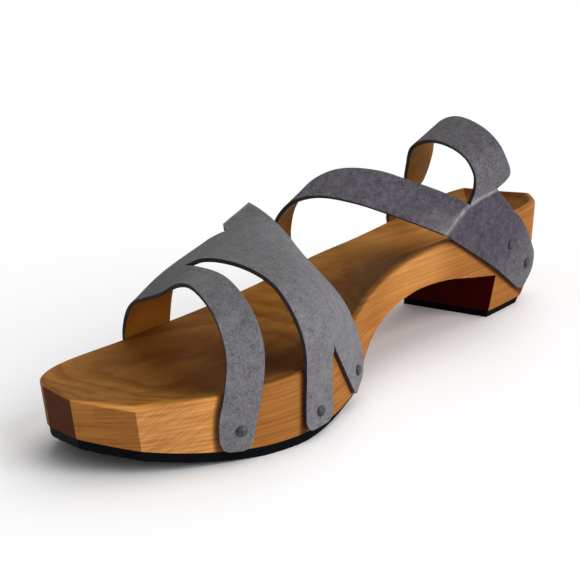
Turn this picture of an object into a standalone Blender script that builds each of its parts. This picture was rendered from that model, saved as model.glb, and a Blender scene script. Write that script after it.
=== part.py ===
"""A left wooden-soled sandal: sawn wooden sole, rubber underfoot, one leather upper of nailed straps.

The toe points along +X, the outer side of the foot is +Y and the floor is Z = 0.
Sizes are in millimetres and become metres where the vertices are made.
"""
import math

import bmesh
import bpy
from mathutils import Matrix, Vector

MM = 0.001

# The block is drawn from the back of the heel forwards; these two shifts centre the sandal on the origin.
CENTRE_X = 127.0
CENTRE_Y = 7.24

# Wooden sole
SEAM = 0.3
# Steps over the eased rim, as shares of a quarter turn
RIM_STEPS = (0.0, 0.25, 0.5, 0.75, 1.0)
# Rings of the dished footbed, as shares of the way from its middle line out to the rim
DISH_RINGS = (0.86, 0.68, 0.48, 0.28, 0.12)
# Ends of that middle line
SPINE_HEEL = 26.0
SPINE_TOE = 214.0

# Plan of the sole. Outer side from the corner at the back of the heel to the first toe corner: x, y
PLAN_OUTER = (
    (1.5, 15.0),
    (6.5, 21.8),
    (14.0, 26.2),
    (32.0, 28.5),
    (54.0, 28.5),
    (76.0, 27.0),
    (98.0, 26.5),
    (116.0, 29.5),
    (135.0, 38.0),
    (152.0, 47.0),
    (168.0, 53.5),
    (183.0, 56.0),
    (198.0, 53.5),
    (213.0, 46.5),
    (227.0, 37.5),
    (239.5, 26.5),
)
# Flat saw cuts across the toe, between the outer corner and the inner one: x, y
PLAN_TOE = (
    (239.5, 26.5),
    (252.5, 4.0),
    (247.5, -21.0),
)
# Inner side from the last toe corner back to the heel: x, y
PLAN_INNER = (
    (247.5, -21.0),
    (242.0, -31.0),
    (231.0, -39.0),
    (217.0, -42.5),
    (196.0, -41.0),
    (174.0, -41.0),
    (150.0, -38.5),
    (125.0, -34.0),
    (100.0, -30.0),
    (75.0, -27.0),
    (50.0, -26.5),
    (30.0, -26.0),
    (15.0, -25.0),
    (6.5, -21.5),
)
# Flat saw cut across the back of the heel, from the inner corner to the outer one: x, y
PLAN_HEEL = (
    (6.5, -21.5),
    (1.5, 15.0),
)
PLAN_STEP = 5.5
FLAT_STEP = 5.0
CURVE_STEPS = 16

# Footbed along the length: x, height of the outer rim, height of the inner rim, depth of the dish,
# easing of the rim, and how far the outer side leans in by the time it reaches the floor
FOOTBED = (
    (-6.0, 45.8, 45.5, 7.0, 2.4, 7.6),
    (12.0, 44.4, 44.5, 8.5, 2.6, 7.6),
    (32.0, 43.6, 42.5, 8.0, 3.0, 7.6),
    (55.0, 43.6, 40.5, 6.5, 3.2, 6.0),
    (75.0, 43.2, 39.0, 5.0, 3.2, 2.2),
    (95.0, 41.0, 37.5, 4.0, 3.2, 0.0),
    (115.0, 36.5, 34.5, 3.5, 3.0, 0.0),
    (135.0, 32.0, 31.5, 4.0, 2.6, 0.0),
    (155.0, 29.0, 29.3, 4.5, 2.0, 0.0),
    (175.0, 28.2, 28.3, 4.5, 1.6, 0.0),
    (200.0, 28.0, 28.0, 4.0, 1.4, 0.0),
    (218.0, 27.8, 28.0, 3.5, 1.4, 0.0),
    (238.0, 29.3, 29.5, 3.0, 1.5, 0.0),
    (256.0, 31.8, 31.8, 3.0, 1.5, 0.0),
)
HEIGHT_OUTER, HEIGHT_INNER, DISH, EASE, LEAN_IN = 1, 2, 3, 4, 5
# The lean fades out round the back of the heel: y where it is gone, y where it is whole
LEAN_GONE = -6.0
LEAN_WHOLE = 12.0
# The rim is rasped further down round the outer toe corner
RASPED_CORNER = Vector((239.5, 26.5, 0.0))
RASP_LENGTH = 26.0
RASP_DEPTH = 2.0
DISH_POWER = 2.4

# The front of the heel is sawn askew: how far it comes forward for each millimetre inwards of a line
HEEL_SKEW = 0.085
ASKEW_FROM = 21.4
# Underside of the wood, sawn across from behind the heel to beyond the toe: x, z, and the skew of a row
UNDERSIDE = (
    (-30.0, 38.0),
    (-4.6, 36.5),
    (-1.8, 30.0),
    (2.0, 24.5),
    (7.0, 18.5),
    (13.0, 11.5),
    (20.5, 2.8),
    (43.4, 2.8, HEEL_SKEW),
    (39.4, 18.6, HEEL_SKEW),
    (56.0, 22.7),
    (70.5, 26.1),
    (85.0, 27.3),
    (97.0, 26.0),
    (107.0, 23.4),
    (118.0, 19.6),
    (127.0, 15.6),
    (134.0, 11.6),
    (140.0, 8.2),
    (147.0, 5.0),
    (158.0, 4.3),
    (170.0, 4.0),
    (200.0, 4.0),
    (213.0, 5.0),
    (226.0, 7.0),
    (238.0, 9.6),
    (247.0, 12.6),
    (254.0, 15.8),
    (280.0, 30.0),
)
SAW_HALF_WIDTH = 90.0
SAW_DEPTH = -12.0

# Rubber under the forefoot, thinned to a feather edge at its back: its walking line, x and z,
# and where it begins under the wood
OUTSOLE_BACK = 147.0
WALKING_LINE = (
    (146.2, 3.9),
    (156.0, 3.2),
    (164.0, 2.3),
    (173.0, 1.2),
    (181.0, 0.4),
    (187.0, 0.0),
    (202.0, 0.0),
    (213.0, 1.0),
    (226.0, 3.0),
    (238.0, 5.6),
    (247.0, 8.6),
    (254.0, 11.8),
    (280.0, 26.0),
)
OUTSOLE_BLANK_TOP = 40.0
# Rubber lift under the heel
LIFT_THICK = 2.5
LIFT_BACK_BOTTOM = 22.8
LIFT_BACK_TOP = 20.7
LIFT_FRONT_TOP = 43.4
LIFT_FRONT_BOTTOM = 43.9
LIFT_BLANK_TOP = 8.0
RUBBER_INSET = 0.6
BLANK_FOOT = -2.0

# Leather
LEATHER = 1.7
STAND_OFF = LEATHER + SEAM
OVER_RIM = 1.0
WELD = 0.05
BAND_COLUMNS = 4
ROW_STEPS = 3
OUTER, INNER = "outer wall", "inner wall"

# Edges of the straps, row by row from the outer side of the foot over to the inner side: x, y, z.
# A wall in place of y lays the leather against that side of the wood.
FRONT_STRAP_FRONT = (
    (216.8, OUTER, 5.6),
    (216.0, OUTER, 17.0),
    (213.0, OUTER, 28.0),
    (209.5, 47.0, 41.0),
    (207.0, 41.5, 53.0),
    (206.0, 34.5, 60.5),
    (205.0, 25.0, 65.0),
    (204.0, 15.0, 63.5),
    (202.0, 2.0, 57.5),
    (198.5, -15.0, 51.5),
    (194.8, -28.5, 46.5),
    (192.6, -37.6, 39.5),
    (192.0, INNER, 29.0),
    (192.0, INNER, 19.0),
    (192.0, INNER, 9.0),
)
FRONT_STRAP_REAR = (
    (206.4, OUTER, 4.4),
    (203.0, OUTER, 17.0),
    (200.0, OUTER, 27.0),
    (196.0, 53.0, 40.0),
    (193.5, 48.0, 51.0),
    (192.5, 40.0, 60.0),
    (191.0, 29.0, 65.0),
    (190.0, 15.0, 66.0),
)
BALL_INNER_MID = (
    (187.0, -1.0, 63.5),
    (185.5, -17.0, 58.0),
    (184.0, -30.0, 50.0),
    (183.0, -40.0, 40.5),
    (182.5, INNER, 29.0),
    (182.5, INNER, 19.0),
    (182.5, INNER, 8.0),
)
SECOND_STRAP_FRONT = (
    (184.9, OUTER, 4.3),
    (183.2, OUTER, 16.0),
    (181.2, OUTER, 27.0),
    (180.5, 58.5, 36.0),
    (180.5, 57.0, 45.0),
    (181.0, 52.5, 54.5),
    (181.5, 46.0, 61.5),
    (182.0, 35.0, 65.8),
    (183.0, 21.0, 67.7),
    (184.5, 8.0, 67.0),
)
SECOND_LEG_REAR = (
    (169.2, OUTER, 4.4),
    (167.5, OUTER, 16.0),
    (165.5, OUTER, 26.0),
)
SECOND_STRAP_MID = (
    (163.5, 55.5, 33.0),
    (162.0, 52.5, 42.5),
    (160.5, 47.0, 51.0),
    (159.5, 39.0, 58.5),
    (158.5, 28.0, 64.5),
    (158.0, 16.0, 68.5),
    (158.0, 4.0, 70.6),
    (157.9, -8.0, 68.7),
)
BALL_INNER_REAR = (
    (162.3, -16.5, 64.6),
    (164.6, -28.0, 56.0),
    (165.7, -38.5, 45.5),
    (168.3, INNER, 29.0),
    (169.5, INNER, 19.0),
    (170.5, INNER, 8.0),
)
THIRD_LEG_FRONT = (
    (149.6, OUTER, 5.1),
    (155.9, OUTER, 17.4),
    (160.5, OUTER, 26.5),
)
SECOND_STRAP_REAR = (
    (138.4, OUTER, 9.9),
    (137.4, OUTER, 18.0),
    (139.4, OUTER, 25.6),
    (141.5, 44.0, 32.0),
    (142.0, 41.0, 39.5),
    (142.0, 36.0, 45.0),
    (141.5, 28.0, 50.5),
    (141.0, 18.0, 57.0),
    (140.5, 8.0, 65.0),
    (140.2, 0.0, 70.0),
    (140.0, -7.5, 73.2),
    (139.7, -14.0, 75.0),
    (132.5, -23.5, 67.5),
    (122.5, -30.5, 55.5),
)
TAB_FRONT = (
    (156.2, -12.0, 70.6),
    (146.0, -23.0, 63.5),
    (133.0, -32.0, 53.0),
    (122.5, -35.8, 43.0),
    (116.5, INNER, 33.5),
    (115.0, INNER, 24.5),
)
WAIST_INNER_MID = (
    (114.0, -35.0, 44.5),
    (110.0, INNER, 35.0),
    (108.0, INNER, 26.5),
)
HEEL_LEG_FRONT = (
    (22.0, OUTER, 6.5),
    (42.0, OUTER, 23.5),
    (58.0, OUTER, 36.0),
    (74.0, 31.5, 47.8),
    (81.0, 22.5, 53.5),
    (89.0, 13.0, 59.5),
    (98.0, 4.0, 65.5),
    (108.0, -6.5, 70.0),
    (114.0, -16.0, 68.5),
    (116.0, -24.5, 62.0),
    (115.5, -31.0, 53.5),
)
HEEL_LEG_MID = (
    (15.0, OUTER, 11.5),
    (31.0, OUTER, 28.0),
    (45.0, OUTER, 43.0),
    (59.0, 33.0, 57.0),
)
FRONT_BRANCH_REAR = (
    (66.0, 25.0, 63.5),
    (74.0, 15.0, 69.5),
    (83.0, 4.0, 75.5),
    (93.0, -8.5, 77.5),
    (101.0, -18.0, 73.3),
    (106.0, -25.0, 64.3),
    (106.0, -30.0, 54.5),
    (104.5, -33.0, 45.0),
    (103.0, INNER, 36.5),
    (101.5, INNER, 28.5),
)
LOOP_FRONT = (
    (58.5, 36.5, 64.0),
    (58.5, 37.0, 71.5),
    (58.0, 31.5, 78.0),
    (56.5, 20.0, 81.8),
    (55.0, 7.0, 81.8),
    (53.5, -5.0, 77.0),
    (52.5, -10.5, 67.0),
    (51.5, -15.5, 56.5),
    (50.5, -27.0, 46.0),
    (50.5, INNER, 37.0),
    (51.0, INNER, 27.5),
)
LOOP_REAR = (
    (9.0, OUTER, 18.0),
    (21.0, OUTER, 35.5),
    (31.0, OUTER, 48.0),
    (41.8, 33.0, 59.4),
    (41.2, 38.0, 63.3),
    (40.7, 41.5, 67.2),
    (43.5, 38.5, 80.0),
    (42.0, 27.0, 86.8),
    (40.0, 10.5, 89.0),
    (38.0, -4.5, 82.5),
    (36.5, -10.5, 70.0),
    (35.0, -18.5, 58.0),
    (34.0, -28.0, 47.5),
    (34.0, INNER, 38.0),
    (35.0, INNER, 28.0),
)
# Rows where the leather is folded: over the top of the heel leg, and over the instep at the tab.
# The rear edge of the loop turns a sharp corner just above its fold.
HEEL_FOLD = 3
TAB_FOLD = 11
LOOP_CORNER = 5

# Nail heads: name, x, wall, z
NAILS = (
    ("nail_front_strap", 209.0, OUTER, 12.8),
    ("nail_second_strap_a", 176.6, OUTER, 10.4),
    ("nail_second_strap_b", 145.0, OUTER, 13.8),
    ("nail_heel_low", 18.5, OUTER, 18.8),
    ("nail_heel_high", 32.0, OUTER, 31.5),
    ("nail_ball_inner_a", 187.0, INNER, 13.0),
    ("nail_ball_inner_b", 176.0, INNER, 13.0),
    ("nail_waist_inner_a", 112.2, INNER, 29.5),
    ("nail_waist_inner_b", 106.0, INNER, 31.5),
    ("nail_heel_inner", 42.5, INNER, 32.5),
)
NAIL_RADIUS = 2.1
NAIL_HEIGHT = 1.0
NAIL_SIDES = 20
# Domed head, as shares: radius, height
NAIL_PROFILE = (
    (1.0, 0.0),
    (1.0, 0.35),
    (0.86, 0.7),
    (0.5, 0.95),
)


def hermite(a, b, ta, tb, t):
    """Point at t between a and b with end slopes ta and tb."""
    h = t * t * (3.0 - 2.0 * t)
    return a + (b - a) * h + ta * (t * (1.0 - t) ** 2) - tb * (t * t * (1.0 - t))


def along(rows, column, x):
    """Smooth value of one column of a table at station x."""
    last = len(rows) - 1
    x = min(max(x, rows[0][0]), rows[last][0])
    i = 0
    while i < last - 1 and x > rows[i + 1][0]:
        i += 1

    def slope(k):
        lo, hi = max(k - 1, 0), min(k + 1, last)
        return (rows[hi][column] - rows[lo][column]) / (rows[hi][0] - rows[lo][0])

    span = rows[i + 1][0] - rows[i][0]
    t = (x - rows[i][0]) / span
    return hermite(rows[i][column], rows[i + 1][column], slope(i) * span, slope(i + 1) * span, t)


def spline(points, steps, folds=()):
    """Curve through every given point, with equal steps in each span, turning sharply only at the folds."""
    last = len(points) - 1
    out = []
    for i in range(last):
        before, a, b, after = points[max(i - 1, 0)], points[i], points[i + 1], points[min(i + 2, last)]
        span = (b - a).length
        reach_a = (b - before) / (span + (a - before).length) * span if i not in folds else b - a
        reach_b = (after - a) / (span + (after - b).length) * span if i + 1 not in folds else b - a
        for k in range(steps):
            out.append(hermite(a, b, reach_a, reach_b, k / steps))
    out.append(points[last].copy())
    return out


def even_steps(points, step):
    """The same curve walked in equal steps of about the given length."""
    lengths = [0.0]
    for a, b in zip(points, points[1:]):
        lengths.append(lengths[-1] + (b - a).length)
    count = max(1, round(lengths[-1] / step))
    out = []
    k = 0
    for n in range(count + 1):
        want = lengths[-1] * n / count
        while k < len(points) - 2 and lengths[k + 1] < want:
            k += 1
        part = (want - lengths[k]) / max(lengths[k + 1] - lengths[k], 1e-9)
        out.append(points[k].lerp(points[k + 1], min(max(part, 0.0), 1.0)))
    return out


def curve_2d(rows, step):
    """Smooth plan line through a table of x, y, walked in steps of about the given length."""
    fine = spline([Vector((x, y, 0.0)) for x, y in rows], CURVE_STEPS)
    return even_steps(fine, step)


def flat_cuts(corners):
    """Straight cuts from corner to corner, up to the last corner."""
    line = []
    for a, b in zip(corners, corners[1:]):
        line += even_steps([Vector((*a, 0.0)), Vector((*b, 0.0))], FLAT_STEP)[:-1]
    return line


def plan_outline():
    """Closed plan of the sole, counter-clockwise from above, without a repeated point."""
    outer = curve_2d(PLAN_OUTER, PLAN_STEP)
    inner = curve_2d(PLAN_INNER, PLAN_STEP)
    loop = outer[:-1] + flat_cuts(PLAN_TOE) + inner[:-1] + flat_cuts(PLAN_HEEL)
    loop.reverse()
    return loop


def side_of(rows):
    """Fine list of (x, y) on one side of the sole, in rising x, for reading off the wall."""
    fine = spline([Vector((x, y, 0.0)) for x, y in rows], CURVE_STEPS)
    return sorted((p.x, p.y) for p in fine)


SIDES = {
    OUTER: side_of(PLAN_OUTER),
    INNER: side_of(PLAN_INNER),
}


def wall_y(side, x):
    """Across position of the wood's wall at station x."""
    line = SIDES[side]
    for (xa, ya), (xb, yb) in zip(line, line[1:]):
        if xa <= x <= xb and xb > xa:
            return ya + (yb - ya) * (x - xa) / (xb - xa)
    return line[0][1] if x < line[0][0] else line[-1][1]


def rim_height(x, y):
    """Height of the rim, shared between the outer and the inner side."""
    outer, inner = wall_y(OUTER, x), wall_y(INNER, x)
    share = min(max((y - inner) / max(outer - inner, 1.0), 0.0), 1.0)
    return along(FOOTBED, HEIGHT_INNER, x) * (1.0 - share) + along(FOOTBED, HEIGHT_OUTER, x) * share


def spine_point(p):
    """Point on the middle line of the footbed that a point of the plan faces."""
    x = min(max(p.x, SPINE_HEEL), SPINE_TOE)
    return Vector((x, 0.5 * (wall_y(OUTER, x) + wall_y(INNER, x)), 0.0))


def towards_spine(p):
    return (spine_point(p) - Vector((p.x, p.y, 0.0))).normalized()


def wall_top(x):
    """Height at which the outer wall ends and the easing of its rim begins."""
    return along(FOOTBED, HEIGHT_OUTER, x) - along(FOOTBED, EASE, x)


def leaning(p):
    """How far the wall has come in at a point of the plan and height z."""
    whole = min(max((p.y - LEAN_GONE) / (LEAN_WHOLE - LEAN_GONE), 0.0), 1.0)
    below = max(0.0, 1.0 - p.z / wall_top(p.x))
    return whole * below * max(along(FOOTBED, LEAN_IN, p.x), 0.0)


def wall_point(side, x, z):
    """Point of the wall at height z, below station x of the rim."""
    p = Vector((x, wall_y(side, x), z))
    return p + towards_spine(p) * leaning(p)


def wall_normal(side, x):
    """Outward direction of the wall at station x."""
    reach = 2.0
    slope = (wall_y(side, x + reach) - wall_y(side, x - reach)) / (2.0 * reach)
    turn = 1.0 if side == OUTER else -1.0
    lean = leaning(Vector((x, wall_y(side, x), 0.0))) / wall_top(x)
    return Vector((-slope * turn, turn, -lean)).normalized()


def to_metres(p):
    return Vector(((p.x - CENTRE_X) * MM, (p.y - CENTRE_Y) * MM, p.z * MM))


def new_collection(name, parent=None):
    made = bpy.data.collections.new(name)
    (parent or bpy.context.scene.collection).children.link(made)
    return made


def new_material(name, colour, roughness, metallic=0.0):
    made = bpy.data.materials.new(name)
    made.use_nodes = True
    shader = made.node_tree.nodes["Principled BSDF"]
    shader.inputs["Base Color"].default_value = (*colour, 1.0)
    shader.inputs["Roughness"].default_value = roughness
    shader.inputs["Metallic"].default_value = metallic
    return made


def object_from(bm, name, collection, material=None):
    mesh = bpy.data.meshes.new(name)
    bm.to_mesh(mesh)
    bm.free()
    made = bpy.data.objects.new(name, mesh)
    collection.objects.link(made)
    if material:
        mesh.materials.append(material)
    return made


def close_lengthwise(bm, ring):
    """Close a long ring with faces laid across it, from the toe end back to the heel end."""
    count = len(ring)
    toe = max(range(count), key=lambda k: ring[k].co.x)
    left, right = (toe + 1) % count, (toe - 1) % count
    bm.faces.new((ring[toe], ring[left], ring[right]))
    for _ in range(count - 3):
        next_left, next_right = (left + 1) % count, (right - 1) % count
        if ring[next_left].co.x > ring[next_right].co.x:
            bm.faces.new((ring[left], ring[next_left], ring[right]))
            left = next_left
        else:
            bm.faces.new((ring[left], ring[next_right], ring[right]))
            right = next_right


def ring_solid(rings):
    """Closed body through rings of equal count, from the bottom ring to the innermost top ring."""
    bm = bmesh.new()
    made = [[bm.verts.new(to_metres(p)) for p in ring] for ring in rings]
    for low, high in zip(made, made[1:]):
        for i in range(len(low)):
            j = (i + 1) % len(low)
            bm.faces.new((low[i], low[j], high[j], high[i]))
    bm.faces.new(list(reversed(made[0])))
    close_lengthwise(bm, made[-1])
    bmesh.ops.recalc_face_normals(bm, faces=bm.faces)
    return bm


def saw_body(line, name, collection):
    """Sawn body: a closed x-z line carried across the whole width, askew where its row says so."""
    bm = bmesh.new()
    ends = []
    for y in (-SAW_HALF_WIDTH, SAW_HALF_WIDTH):
        end = []
        for x, z, *skew in line:
            forward = sum(skew) * (ASKEW_FROM - y)
            end.append(bm.verts.new(to_metres(Vector((x + forward, y, z)))))
        bm.faces.new(end)
        ends.append(end)
    inner, outer = ends
    for k in range(len(line)):
        j = (k + 1) % len(line)
        bm.faces.new((inner[k], inner[j], outer[j], outer[k]))
    bmesh.ops.recalc_face_normals(bm, faces=bm.faces)
    return object_from(bm, name, collection)


def cut(target, cutter, operation):
    step = target.modifiers.new(operation.lower() + " " + cutter.name, "BOOLEAN")
    step.operation = operation
    step.solver = "EXACT"
    step.object = cutter


def rim_ring(plan, part):
    """Ring over the eased rim, from the wall at 0 to the footbed at 1."""
    turn = part * math.pi / 2.0
    ring = []
    for p in plan:
        rasped = max(0.0, 1.0 - (p - RASPED_CORNER).length / RASP_LENGTH)
        ease = along(FOOTBED, EASE, p.x)
        inwards = (1.0 - math.cos(turn)) * (1.0 - rasped) + part * rasped
        down = (1.0 - math.sin(turn)) * (1.0 - rasped) + (1.0 - part) * rasped
        q = p + towards_spine(p) * (inwards * (ease + 0.5 * rasped * RASP_DEPTH))
        ring.append(Vector((q.x, q.y, rim_height(q.x, q.y) - down * (ease + rasped * RASP_DEPTH))))
    return ring


def build_sole(parts, saws, wood):
    """Sawn block with an eased rim and a dished footbed, cut away underneath."""
    plan = plan_outline()
    rings = [[p + towards_spine(p) * leaning(p) for p in plan]]
    rings += [rim_ring(plan, part) for part in RIM_STEPS]
    rim = rings[-1]
    for share in DISH_RINGS:
        ring = []
        for p in rim:
            foot = spine_point(p)
            flat = Vector((p.x, p.y, 0.0))
            q = foot.lerp(flat, share)
            depth = along(FOOTBED, DISH, q.x) * (1.0 - share ** DISH_POWER)
            edge = p.z * share + rim_height(foot.x, foot.y) * (1.0 - share)
            ring.append(Vector((q.x, q.y, edge - depth)))
        rings.append(ring)
    sole = object_from(ring_solid(rings), "wooden_sole", parts, wood)
    under = UNDERSIDE + ((UNDERSIDE[-1][0], SAW_DEPTH), (UNDERSIDE[0][0], SAW_DEPTH))
    cut(sole, saw_body(under, "underside_saw", saws), "DIFFERENCE")
    return sole


def rubber_blank(name, top, parts, rubber):
    """Upright blank with the plan of the sole, a little inside it."""
    rings = []
    for z in (BLANK_FOOT, top):
        ring = []
        for p in plan_outline():
            level = Vector((p.x, p.y, z))
            ring.append(level + towards_spine(p) * (leaning(level) + RUBBER_INSET))
        rings.append(ring)
    return object_from(ring_solid(rings), name, parts, rubber)


def build_rubber(parts, saws, rubber):
    """Forefoot outsole and heel lift, each cut from a blank of the sole's plan."""
    outsole = rubber_blank("forefoot_outsole", OUTSOLE_BLANK_TOP, parts, rubber)
    top_line = [(x, z - SEAM) for x, z, *_ in UNDERSIDE if x >= OUTSOLE_BACK]
    cut(outsole, saw_body(list(WALKING_LINE) + top_line[::-1], "outsole_slab", saws), "INTERSECT")
    lift = rubber_blank("heel_lift", LIFT_BLANK_TOP, parts, rubber)
    slab = (
        (LIFT_BACK_BOTTOM, 0.0),
        (LIFT_FRONT_BOTTOM, 0.0, HEEL_SKEW),
        (LIFT_FRONT_TOP, LIFT_THICK, HEEL_SKEW),
        (LIFT_BACK_TOP, LIFT_THICK),
    )
    cut(lift, saw_body(slab, "lift_slab", saws), "INTERSECT")


def edge_line(rows, folds):
    """Strap edge in space; a named wall stands for the leather's place against it."""
    points = []
    for x, y, z in rows:
        if y in SIDES:
            points.append(wall_point(y, x, z) + wall_normal(y, x) * STAND_OFF)
        else:
            points.append(Vector((x, y, z)))
    return spline(points, ROW_STEPS, folds)


def clear_of_wood(p):
    """Keep the leather outside the wood wherever it hangs below the rim."""
    if p.z > rim_height(p.x, p.y) + OVER_RIM:
        return p
    side = OUTER if p.y > 0.5 * (wall_y(OUTER, p.x) + wall_y(INNER, p.x)) else INNER
    station = 2.0 * p.x - wall_point(side, p.x, p.z).x
    normal = wall_normal(side, station)
    out = (p - wall_point(side, station, p.z)).dot(normal)
    return p + normal * max(STAND_OFF - out, 0.0)


def band_grid(front_rows, rear_rows, folds=(), rear_corners=()):
    """Rows of points across one band of leather, front edge to rear edge."""
    front = edge_line(front_rows, folds)
    rear = edge_line(rear_rows, folds + rear_corners)
    grid = []
    for a, b in zip(front, rear):
        grid.append([a.lerp(b, k / BAND_COLUMNS) for k in range(BAND_COLUMNS + 1)])
    return grid


def join_edges(first, first_row, second, second_row, rows):
    """Make the rear edge of one band and the front edge of the next the same line."""
    for k in range((rows - 1) * ROW_STEPS + 1):
        a = first[first_row * ROW_STEPS + k]
        b = second[second_row * ROW_STEPS + k]
        shared = (a[-1] + b[0]) * 0.5
        a[-1] = shared
        b[0] = shared.copy()


def build_upper(parts, leather):
    """Five bands of one leather piece, joined along the lines between the slits."""
    front = band_grid(FRONT_STRAP_FRONT, FRONT_STRAP_REAR + BALL_INNER_MID)
    second = band_grid(
        SECOND_STRAP_FRONT + BALL_INNER_MID, SECOND_LEG_REAR + SECOND_STRAP_MID + BALL_INNER_REAR
    )
    tab = band_grid(
        THIRD_LEG_FRONT + SECOND_STRAP_MID + TAB_FRONT, SECOND_STRAP_REAR + WAIST_INNER_MID, (TAB_FOLD,)
    )
    branch = band_grid(HEEL_LEG_FRONT + WAIST_INNER_MID, HEEL_LEG_MID + FRONT_BRANCH_REAR, (HEEL_FOLD,))
    loop = band_grid(HEEL_LEG_MID + LOOP_FRONT, LOOP_REAR, (HEEL_FOLD,), (LOOP_CORNER,))
    join_edges(front, len(FRONT_STRAP_REAR), second, len(SECOND_STRAP_FRONT), len(BALL_INNER_MID))
    join_edges(second, len(SECOND_LEG_REAR), tab, len(THIRD_LEG_FRONT), len(SECOND_STRAP_MID))
    join_edges(tab, len(SECOND_STRAP_REAR), branch, len(HEEL_LEG_FRONT), len(WAIST_INNER_MID))
    join_edges(branch, 0, loop, 0, len(HEEL_LEG_MID))
    bm = bmesh.new()
    for grid in (front, second, tab, branch, loop):
        made = [[bm.verts.new(to_metres(clear_of_wood(p))) for p in row] for row in grid]
        for low, high in zip(made, made[1:]):
            for k in range(BAND_COLUMNS):
                bm.faces.new((low[k], low[k + 1], high[k + 1], high[k]))
    bmesh.ops.remove_doubles(bm, verts=bm.verts, dist=WELD * MM)
    upper = object_from(bm, "upper", parts, leather)
    wall = upper.modifiers.new("leather thickness", "SOLIDIFY")
    wall.thickness = LEATHER * MM
    wall.offset = -1.0
    wall.use_even_offset = True
    for face in upper.data.polygons:
        face.use_smooth = True
    return upper


def build_nails(parts, metal):
    """Low domed heads against the leather."""
    for name, x, side, z in NAILS:
        bm = bmesh.new()
        turned = []
        for radius, rise in NAIL_PROFILE:
            circle = []
            for k in range(NAIL_SIDES):
                angle = 2.0 * math.pi * k / NAIL_SIDES
                across = Vector((math.cos(angle), math.sin(angle), 0.0)) * (radius * NAIL_RADIUS * MM)
                circle.append(bm.verts.new(across + Vector((0.0, 0.0, rise * NAIL_HEIGHT * MM))))
            turned.append(circle)
        for low, high in zip(turned, turned[1:]):
            for k in range(NAIL_SIDES):
                j = (k + 1) % NAIL_SIDES
                bm.faces.new((low[k], low[j], high[j], high[k]))
        bm.faces.new(list(reversed(turned[0])))
        bm.faces.new(turned[-1])
        normal = wall_normal(side, x)
        seat = wall_point(side, x, z) + normal * (STAND_OFF + SEAM)
        upright = normal.to_track_quat("Z", "Y").to_matrix().to_4x4()
        bmesh.ops.transform(bm, matrix=Matrix.Translation(to_metres(seat)) @ upright, verts=bm.verts)
        head = object_from(bm, name, parts, metal)
        for face in head.data.polygons:
            face.use_smooth = True


for old in list(bpy.data.objects):
    bpy.data.objects.remove(old, do_unlink=True)

sandal = new_collection("wooden_sandal")
saws = new_collection("saw_shapes")

wood = new_material("alder", (0.55, 0.27, 0.09), 0.5)
rubber = new_material("black rubber", (0.015, 0.015, 0.016), 0.8)
suede = new_material("grey suede", (0.17, 0.165, 0.18), 0.95)
steel = new_material("nail steel", (0.45, 0.45, 0.44), 0.4, 1.0)

build_sole(sandal, saws, wood)
build_rubber(sandal, saws, rubber)
build_upper(sandal, suede)
build_nails(sandal, steel)

for tool in saws.objects:
    tool.hide_render = True
    tool.display_type = "WIRE"
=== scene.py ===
import math

import bmesh
import bpy
from mathutils import Matrix, Vector


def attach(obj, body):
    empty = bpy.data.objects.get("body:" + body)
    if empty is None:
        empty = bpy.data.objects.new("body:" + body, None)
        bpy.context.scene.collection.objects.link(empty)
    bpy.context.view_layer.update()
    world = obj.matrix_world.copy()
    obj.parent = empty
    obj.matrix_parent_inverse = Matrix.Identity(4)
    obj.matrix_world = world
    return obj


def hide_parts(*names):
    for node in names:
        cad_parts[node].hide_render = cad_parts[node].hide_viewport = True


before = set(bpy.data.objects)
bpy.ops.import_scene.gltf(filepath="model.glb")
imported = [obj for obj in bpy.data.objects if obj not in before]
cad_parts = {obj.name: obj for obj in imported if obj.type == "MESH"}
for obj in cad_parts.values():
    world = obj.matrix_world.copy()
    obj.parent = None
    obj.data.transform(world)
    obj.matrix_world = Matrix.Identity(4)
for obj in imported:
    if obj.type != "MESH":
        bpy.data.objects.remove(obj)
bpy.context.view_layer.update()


# Wooden sole: one block of alder, sawn to the plan of the left foot and sawn again from below for the heel,
# arch and toe spring. The footbed is milled into a dish and rubbed with dark oil. The sides get no oil; they
# are darker behind the toe, with painted shade of the straps at the ball and painted shadow beside the legs
# of the straps.

# One millimetre of the drawing in the frame, and the frame's middle in the drawing: x, y
MM = 0.001
HEEL_TO_MIDDLE, AXIS_TO_MIDDLE = 127.0, 7.24
# Plan, in millimetres from the back of the heel: x, y
OUTER_SIDE = (
    (1.5, 15.0), (6.5, 21.8), (14.0, 26.2), (32.0, 28.5), (54.0, 28.5), (76.0, 27.0),
    (98.0, 26.5), (116.0, 29.5), (135.0, 38.0), (152.0, 47.0), (168.0, 53.5), (183.0, 56.0),
    (198.0, 53.5), (213.0, 46.5), (227.0, 37.5), (239.5, 26.5),
)
TOE_CUTS = ((239.5, 26.5), (252.5, 4.0), (247.5, -21.0))
INNER_SIDE = (
    (247.5, -21.0), (242.0, -31.0), (231.0, -39.0), (217.0, -42.5), (196.0, -41.0), (174.0, -41.0),
    (150.0, -38.5), (125.0, -34.0), (100.0, -30.0), (75.0, -27.0), (50.0, -26.5), (30.0, -26.0),
    (15.0, -25.0), (6.5, -21.5),
)
HEEL_CUT = ((6.5, -21.5), (1.5, 15.0))
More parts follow.
